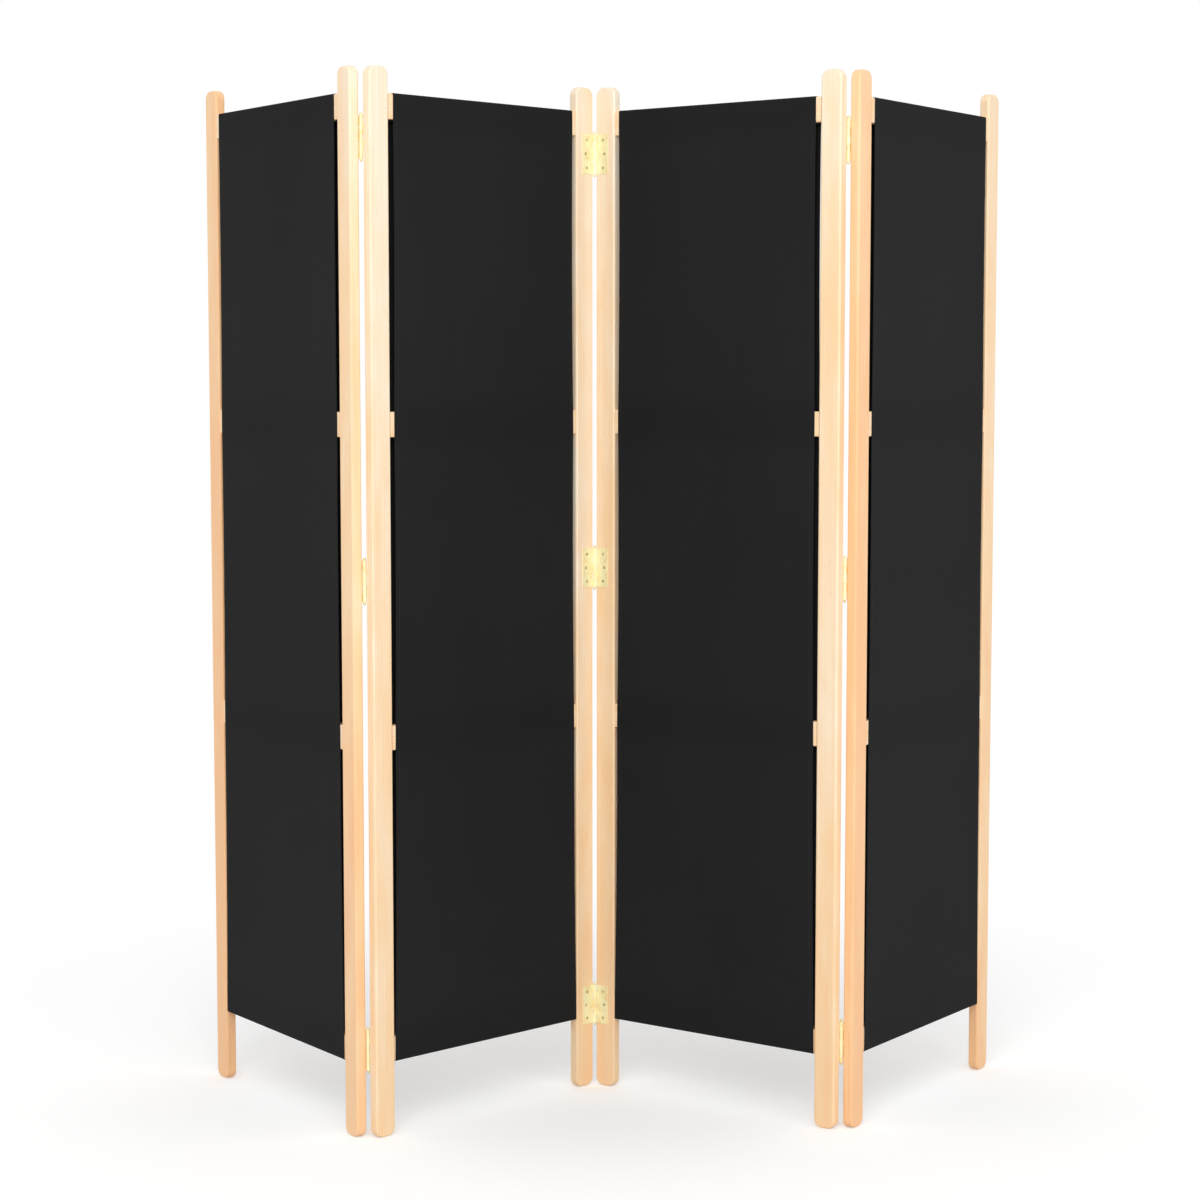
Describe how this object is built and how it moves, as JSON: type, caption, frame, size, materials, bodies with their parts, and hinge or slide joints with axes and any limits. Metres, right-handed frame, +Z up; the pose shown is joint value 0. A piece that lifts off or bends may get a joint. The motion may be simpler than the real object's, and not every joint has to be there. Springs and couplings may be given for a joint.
{
  "type": "folding screen",
  "caption": "Free-standing folding room divider: wooden frames with rounded stiles, taut dark cloth panels and brass butt hinges that let it zig-zag, lie flat or fold into a stack.",
  "frame": {"origin": "floor level under the middle of the screen's outline in its standing zig-zag pose", "axes": "+Z up along the stiles, front of the screen towards -Y, +X to the right seen from the front"},
  "size_m": [1.3536, 0.4472, 1.7],
  "materials": {
    "pine": "clear satin lacquer on planed softwood",
    "beech_dowel": "bare turned hardwood",
    "black_cloth": "matte plain-weave cloth",
    "hinge_brass": "bright brass-plated steel",
    "pin_brass": "brass-plated steel pin",
    "screw_brass": "brass-plated countersunk screws"
  },
  "bodies": {
    "panel_1": {"panel_1_left_stile": "pine", "panel_1_right_stile": "pine", "panel_1_top_rail": "pine", "panel_1_upper_rail": "pine", "panel_1_lower_rail": "pine", "panel_1_bottom_rail": "pine", "panel_1_fabric": "black_cloth", "panel_1_dowels": "beech_dowel", "panel_1_hinge_screws": "screw_brass", "left_fold_top_left_leaf": "hinge_brass", "left_fold_middle_left_leaf": "hinge_brass", "left_fold_bottom_left_leaf": "hinge_brass", "left_fold_hinge_pins": "pin_brass"},
    "panel_2": {"panel_2_left_stile": "pine", "panel_2_right_stile": "pine", "panel_2_top_rail": "pine", "panel_2_upper_rail": "pine", "panel_2_lower_rail": "pine", "panel_2_bottom_rail": "pine", "panel_2_fabric": "black_cloth", "panel_2_dowels": "beech_dowel", "panel_2_hinge_screws": "screw_brass", "left_fold_top_right_leaf": "hinge_brass", "left_fold_middle_right_leaf": "hinge_brass", "left_fold_bottom_right_leaf": "hinge_brass", "centre_fold_top_left_leaf": "hinge_brass", "centre_fold_middle_left_leaf": "hinge_brass", "centre_fold_bottom_left_leaf": "hinge_brass", "centre_fold_hinge_pins": "pin_brass"},
    "panel_3": {"panel_3_left_stile": "pine", "panel_3_right_stile": "pine", "panel_3_top_rail": "pine", "panel_3_upper_rail": "pine", "panel_3_lower_rail": "pine", "panel_3_bottom_rail": "pine", "panel_3_fabric": "black_cloth", "panel_3_dowels": "beech_dowel", "panel_3_hinge_screws": "screw_brass", "centre_fold_top_right_leaf": "hinge_brass", "centre_fold_middle_right_leaf": "hinge_brass", "centre_fold_bottom_right_leaf": "hinge_brass", "right_fold_top_left_leaf": "hinge_brass", "right_fold_middle_left_leaf": "hinge_brass", "right_fold_bottom_left_leaf": "hinge_brass", "right_fold_hinge_pins": "pin_brass"},
    "panel_4": {"panel_4_left_stile": "pine", "panel_4_right_stile": "pine", "panel_4_top_rail": "pine", "panel_4_upper_rail": "pine", "panel_4_lower_rail": "pine", "panel_4_bottom_rail": "pine", "panel_4_fabric": "black_cloth", "panel_4_dowels": "beech_dowel", "panel_4_hinge_screws": "screw_brass", "right_fold_top_right_leaf": "hinge_brass", "right_fold_middle_right_leaf": "hinge_brass", "right_fold_bottom_right_leaf": "hinge_brass"}
  },
  "joints": [
    {"name": "left_fold", "type": "hinge", "parent": "panel_2", "child": "panel_1", "pos_m": [-0.37977, -0.21011, 0.85], "axis": [0, 0, 1], "range_deg": [-83, 97]},
    {"name": "centre_fold", "type": "hinge", "parent": "panel_2", "child": "panel_3", "pos_m": [-0.01689, 0.09887, 0.85], "axis": [0, 0, 1], "range_deg": [-101, 79]},
    {"name": "right_fold", "type": "hinge", "parent": "panel_3", "child": "panel_4", "pos_m": [0.38366, -0.1594, 0.85], "axis": [0, 0, -1], "range_deg": [-90, 90]}
  ]
}
